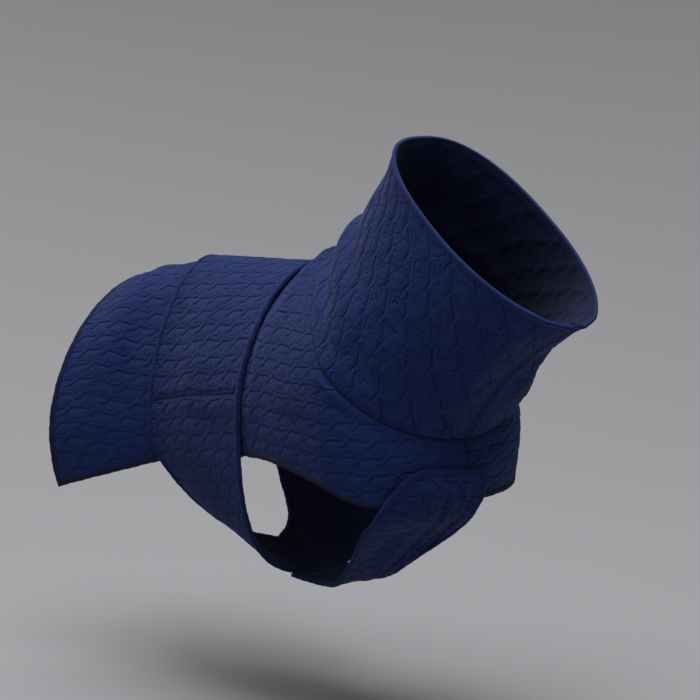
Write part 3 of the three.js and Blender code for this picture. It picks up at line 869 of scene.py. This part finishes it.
# ======================================================================================
# GIRTH BAND. A broad band of the jersey over the back, cut with its rows lengthwise. It
# lies on the body and is sewn to the belly panel low on each flank.
# ======================================================================================
BELLY = ("along belly_up square", [
    (-126, -179.5, 2.27),
    (-60, -198, 2.52),
    (0, -218.5, 2.9),
])
WALL = 3.0                # thickness of the cloth in the frame
LAP = 0.8                 # and its room between the body and the band on it
BAND_LIFT = LAP + WALL    # from the body's face to the band's
SEAM = 0.4                # room between sewn edges in the frame
SIDE_SEAM = 0.75          # the band ends this share of the way down to the hem's binding
SIDE_LIP = 2.0            # and turns in by this much there
BAND_COLUMNS, BAND_ROWS = 82, 76


def girth_section(along):
    wide, wide_up = read(BODY, "wide_out", along), read(BODY, "wide_up", along)
    depth = wide_up - read(BELLY, "belly_up", along)
    bend = 2 / read(BELLY, "square", along)
    angle = np.linspace(0, math.pi / 2, UPPER_STEPS)[1:]
    out, up = upper_section(along)
    return (np.append(out, wide * power(np.cos(angle), bend)),
            np.append(up, wide_up - depth * np.sin(angle) ** bend))


girth = Surface(girth_section)


def side_seam(along):
    """How far down the cloth the band meets the belly panel."""
    return SIDE_SEAM * (trunk.length(along) - TRIM - SEAM)


def girth_point(along, down, lift=BAND_LIFT):
    """On the girth's form, moved out. The ridge and the belly's middle stay in the middle."""
    way = girth.way(along, down)
    point = girth.at(along, min(down, girth.length(along)))
    if down < 0.01 or down > girth.length(along) - 0.01:
        way.y = point.y = 0
    return point + way.normalized() * lift


def band_form(across, up):
    along = round(BAND_REAR + TUCK + across * (BAND_FRONT - BAND_REAR - 2 * TUCK), 4)
    row = (1 - up) * (BAND_ROWS + 1)
    down = min(row / BAND_ROWS, 1.0) * side_seam(along)
    lip = row > BAND_ROWS + 0.5
    return girth_point(along, down, BAND_LIFT - SIDE_LIP * lip), along, down, lip


# From along, down, to along, down, rise, half width, bow, as on the body.
BAND_CREASES = [
    (-116, 52, -60, 84, -0.9, 8, 4),
    (-70, 96, -12, 104, 0.8, 8, -3),
    (-120, -46, -50, -72, -0.9, 8, 4),
    (-90, -98, -16, -92, 0.8, 8, 3),
]

side_line = [girth_point(a, side_seam(a)) for a in np.linspace(BAND_REAR, BAND_FRONT, 127)]
girth_band = cloth_sheet("girth_band_cloth", BAND_COLUMNS, BAND_ROWS + 1, band_form, BODY_QUILT,
                         creased(BAND_CREASES), side_line, mirrored=True)
ready(girth_band, "girth_band", "quilt", lengthwise_jersey, inner_jersey)


# ======================================================================================
# BELLY PANEL. The band goes on under the belly in one panel, cut away behind in a curve.
# ======================================================================================
CUTAWAY = ("round along", [(0, -126), (0.35, -120), (0.6, -98), (0.85, -62), (1, -48)])
BELLY_HALF = 130.0      # from its side seam to the middle of the belly, round the trunk
ROW_STEP = 5.0          # its rows of quilting don't run on from the band's, but miss by this
SIDE_ROOM = 0.1         # its sewn edge lies this far from the band's
BELLY_COLUMNS, BELLY_ROWS = 76, 84


def cutaway(share, inside):
    """A line this far within the panel's rear edge, square to that edge."""
    nearby = 0.02
    rise = read(CUTAWAY, "along", share + nearby) - read(CUTAWAY, "along", share - nearby)
    return read(CUTAWAY, "along", share) + inside * math.hypot(1, rise / (2 * nearby * BELLY_HALF))


def belly_form(across, up):
    row = (1 - up) * (BELLY_ROWS + 1)
    share = max(0.0, row - 1) / BELLY_ROWS
    rear = cutaway(share, TUCK)
    along = round(rear + across * (BAND_FRONT - TUCK - rear), 4)
    down = side_seam(along) + share * (girth.length(along) - side_seam(along)) + SIDE_ROOM
    lip = row < 0.5
    return girth_point(along, down, BAND_LIFT - SIDE_LIP * lip), along, down + ROW_STEP, lip


# The same again, with down running on from the band's.
BELLY_CREASES = [
    (-80, 132, -10, 150, -1.0, 7, 4),
    (-50, 166, -8, 190, 1.0, 8, -4),
    (-84, -130, -14, -148, -1.0, 7, -4),
    (-46, -164, -10, -192, 1.0, 8, 4),
    (-36, 210, -8, 214, -1.0, 6, 0),
]

belly_panel = cloth_sheet("belly_panel_cloth", BELLY_COLUMNS, BELLY_ROWS + 1, belly_form, BODY_QUILT,
                          creased(BELLY_CREASES), side_line, mirrored=True)
ready(belly_panel, "belly_panel", "quilt", lengthwise_jersey, inner_jersey)


# ======================================================================================
# BAND BINDINGS. Rings of the jersey's own plain tape round the front and rear edges of
# the band, right round the trunk.
# ======================================================================================
RING_STEPS = 210
OVER_BAND = 0.5    # the share of those steps that goes round the band, before the belly panel


def ring_pair(lines):
    """Left half of a ring, from the ridge to the middle of the belly."""
    def pair(share):
        round_share = max(0.0, share / OVER_BAND - 1)
        points = []
        for along in lines(round_share):
            seam = side_seam(along)
            if share <= OVER_BAND:
                down = seam * share / OVER_BAND
            else:
                down = seam + round_share * (girth.length(along) - seam)
            points.append((along, down))
        edge, inner = points
        way = girth.way(*edge) + girth.way(*inner)
        places = [girth.at(*edge), girth.at(*inner)]
        if share in (0.0, 1.0):
            for v in (*places, way):
                v.y = 0.0
        return *places, way.normalized()
    return pair


def front_lines(round_share):
    return BAND_FRONT, BAND_FRONT - TRIM


def rear_lines(round_share):
    return cutaway(round_share, 0), cutaway(round_share, TRIM)


# A strip of the same jersey, folded flat. The eye sees its plain navy with no quilting, a little darker
# than the quilted face as painted shade along the bound edges.
jersey_tape = plain_jersey("plain jersey tape", "#122252", NAP)
for end, lines in (("front", front_lines), ("rear", rear_lines)):
    ring = bound_edge(f"band_binding_{end}_tape", RING_STEPS, ring_pair(lines), mirrored=True,
                      lift=BAND_LIFT)
    ready(ring, f"band_binding_{end}", "binding", jersey_tape)


# ======================================================================================
# CHEST STRAP. From the belly panel it goes forward between the legs and up on to the
# breast, where it widens into a flap that fastens on the coat. The same quilted jersey.
# ======================================================================================
# Run is the way up the strap's middle line. Aside is where that line lies, to the wearer's
# right, wrap is how much of the breast's oval it follows, and tilt is its rise to that side.
STRAP = ("run along up half_width aside wrap tilt", [
    (0, 0.2, -222.5, 29, 0, 0.05, 0),
    (28, 28, -224.5, 25, 2, 0.1, 0),
    (54, 53, -220.5, 26, 8, 0.2, 0),
    (90, 84, -200.5, 35.5, 12.5, 0.5, 0.02),
    (128, 116, -177.5, 46, 16, 0.8, 0.04),
    (158, 146, -160, 40.5, 25, 1, 0.07),
    (180, 156, -142.5, 39, 23, 1, 0.08),
    (195, 155.5, -127.5, 40, 22, 1, 0.08),
])
STRAP_END = 195.0
STRAP_CORNERS = {1: 28.0, -1: 10.0}    # radii at the end, by side; 1 is the wearer's right
STRAP_OVAL = 94.0                      # half width of the breast that it bends round
STRAP_COLUMNS, STRAP_ROWS = 60, 130


def strap_at(run, side):
    across = read(STRAP, "aside", run) + side
    along = read(STRAP, "along", run)
    bend = 1 - math.sqrt(1 - (across / STRAP_OVAL) ** 2)
    return Vector((along - read(STRAP, "wrap", run) * (along - HINGE) * bend, -across,
                   read(STRAP, "up", run) + read(STRAP, "tilt", run) * across))


def strap_way(run, side, near=0.5):
    forward = strap_at(run + near, side) - strap_at(run - near, side)
    aside = strap_at(run, side + near) - strap_at(run, side - near)
    return forward.cross(aside).normalized()


def strap_reach(run, inset, side):
    """How far the strap's edge lies to one side, its end corner rounded."""
    half = read(STRAP, "half_width", run) - inset
    radius = STRAP_CORNERS[side] - inset
    into_corner = max(0.0, run - (STRAP_END - inset - radius))
    return side * (half - radius + math.sqrt(max(0.0, radius**2 - into_corner**2)))


def strap_run(share, inset):
    """Even up the strap, then by equal turns round its larger corner."""
    end, radius = STRAP_END - inset, STRAP_CORNERS[1] - inset
    straight = (end - radius) / (end - radius + radius * math.pi / 2)
    if share <= straight:
        return (end - radius) * share / straight
    return end - radius + radius * math.sin((share - straight) / (1 - straight) * math.pi / 2)


def strap_form(across, up):
    run = strap_run(up, TUCK)
    left, right = strap_reach(run, TUCK, -1), strap_reach(run, TUCK, 1)
    side = left + across * (right - left)
    return strap_at(run, side), side, -run, False


# From side, run, to side, run, rise, half width, bow. The run is negative here.
STRAP_CREASES = [
    (-2, -189, -13, -74, -2.5, 2.8, 5),
    (-9, -176, -15, -58, 2.8, 3.2, 3),
    (-15, -190, -23, -90, -2.4, 2.4, 4),
    (-19, -180, -26, -64, 2.6, 2.8, 2),
    (-25, -184, -32, -78, -3.0, 3.0, 3),
    (4, -120, -8, -50, 1.3, 4, 2),
    (6, -186, 0, -120, 1.0, 5, 3),
    (20, -128, 12, -84, -3.0, 10, 0),
    (34, -162, 14, -160, -0.8, 1.6, 0),
    (-5, -158, -26, -163, -0.8, 1.6, 0),
    (8, -56, 2, -12, -1.2, 6, 2),
]

STRAP_ROOT = 29        # half width where it is sewn to the belly panel
strap_root = [strap_at(0, side) for side in range(-STRAP_ROOT, STRAP_ROOT + 1)]
STRAP_QUILT = {**BODY_QUILT, "depth": 0.7}
# The same jersey, crumpled by the legs and quilted deeper. The eye sees its grooves, and their painted
# shade, a little stronger.
strap_jersey = quilted_jersey("quilted double jersey, quilted deeper", STRAP_QUILT)
chest_strap = cloth_sheet("chest_strap_cloth", STRAP_COLUMNS, STRAP_ROWS, strap_form, STRAP_QUILT,
                          creased(STRAP_CREASES), strap_root)
ready(chest_strap, "chest_strap", "quilt", strap_jersey, inner_jersey)


# ======================================================================================
# STRAP BINDING. The same tape up one side of the strap, over its end and down the other.
# ======================================================================================
STRAP_EDGE_STEPS, STRAP_END_STEPS = 130, 40


def strap_edge_spots(share, side):
    """Places on the strap's edge and inside it, as run and side."""
    runs = [strap_run(share, inset) for inset in (0, TRIM)]
    return [(run, strap_reach(run, inset, side)) for run, inset in zip(runs, (0, TRIM))]


def strap_pair(share):
    step = share * (2 * STRAP_EDGE_STEPS + STRAP_END_STEPS)
    if step <= STRAP_EDGE_STEPS:
        spots = strap_edge_spots(step / STRAP_EDGE_STEPS, 1)
    elif step >= STRAP_EDGE_STEPS + STRAP_END_STEPS:
        spots = strap_edge_spots((2 * STRAP_EDGE_STEPS + STRAP_END_STEPS - step) / STRAP_EDGE_STEPS, -1)
    else:
        over = (step - STRAP_EDGE_STEPS) / STRAP_END_STEPS
        spots = []
        for inset in (0, TRIM):
            run = STRAP_END - inset
            right, left = strap_reach(run, inset, 1), strap_reach(run, inset, -1)
            spots.append((run, right + over * (left - right)))
    way = strap_way(*spots[0]) + strap_way(*spots[1])
    return strap_at(*spots[0]), strap_at(*spots[1]), way.normalized()


strap_binding = bound_edge("strap_binding_tape", 2 * STRAP_EDGE_STEPS + STRAP_END_STEPS, strap_pair)
ready(strap_binding, "strap_binding", "binding", jersey_tape)


# ======================================================================================
# STUDIO. Seamless grey paper, flat in the middle and curved up all round. The strong soft
# boxes stand above, one over the camera and one over the rump, and weak ones at each end.
# ======================================================================================
FLOOR_UP = -0.316    # in metres, as is all of the studio: where the wearer's paws would stand
FLAT_RADIUS, SWEEP_RADIUS, SWEEP_DEGREES, SWEEP_STEPS = 0.9, 4.0, 80, 24
bm = bmesh.new()
bmesh.ops.create_circle(bm, cap_ends=True, segments=128, radius=FLAT_RADIUS)
rim = [e for e in bm.edges if e.is_boundary]
for step in range(1, SWEEP_STEPS + 1):
    turn = math.radians(SWEEP_DEGREES * step / SWEEP_STEPS)
    made = bmesh.ops.extrude_edge_only(bm, edges=rim)["geom"]
    raised = {g for g in made if isinstance(g, bmesh.types.BMVert)}
    rim = [e for e in bm.edges if e.is_boundary and raised.issuperset(e.verts)]
    for v in raised:
        away = Vector((v.co.x, v.co.y, 0)).normalized()
        v.co = (away * (FLAT_RADIUS + SWEEP_RADIUS * math.sin(turn))
                + Vector((0, 0, SWEEP_RADIUS * (1 - math.cos(turn)))))
bmesh.ops.translate(bm, vec=(0, 0, FLOOR_UP), verts=bm.verts[:])
bmesh.ops.recalc_face_normals(bm, faces=bm.faces[:])
for face in bm.faces:
    face.smooth = True
studio_floor = finished("studio_floor", bm)
# Heavy uncoated paper off a roll. The eye sees an even grey with no shine.
paper, tree, shader = new_material("pale seamless paper", Roughness=0.95)
shader.inputs["Base Color"].default_value = linear("#949497")
studio_floor.data.materials.append(paper)

CAMERA = {"round": 48.0, "up": 7.0, "away": 2.0, "lens": 144.0, "aim": (0.0314, 0.0006, -0.057)}


def aimed(name, data, round_degrees, up_degrees, away):
    """A camera or lamp at a bearing from -Y towards +X and at a height, facing the coat."""
    a, e = math.radians(round_degrees), math.radians(up_degrees)
    off = away * Vector((math.sin(a) * math.cos(e), -math.cos(a) * math.cos(e), math.sin(e)))
    thing = bpy.data.objects.new(name, data)
    thing.location = Vector(CAMERA["aim"]) + off
    thing.rotation_euler = (-off).to_track_quat("-Z", "Y").to_euler()
    bpy.context.scene.collection.objects.link(thing)
    return thing


camera = aimed("camera", bpy.data.cameras.new("camera"), CAMERA["round"], CAMERA["up"], CAMERA["away"])
camera.data.lens = CAMERA["lens"]
camera.data.sensor_width = 36
bpy.context.scene.camera = camera

# name, degrees round, degrees up, away, size, watts
SOFT_BOXES = [
    ("key box", 45, 65, 3.0, 1.8, 54),
    ("side box", -90, 30, 3.0, 1.8, 12),
    ("front fill", 85, 20, 3.0, 1.8, 3),
    ("top box", -112, 75, 3.0, 2.0, 78),
]
for name, round_degrees, up_degrees, away, size, watts in SOFT_BOXES:
    lamp = aimed(name, bpy.data.lights.new(name, "AREA"), round_degrees, up_degrees, away)
    lamp.data.shape = "SQUARE"
    lamp.data.size = size
    lamp.data.energy = watts

air = bpy.data.worlds.new("studio air")
bpy.context.scene.world = air
air.use_nodes = True
air.node_tree.nodes["Background"].inputs[0].default_value = linear("#d8dade")
air.node_tree.nodes["Background"].inputs[1].default_value = 0.08
bpy.context.scene.view_settings.view_transform = "Standard"
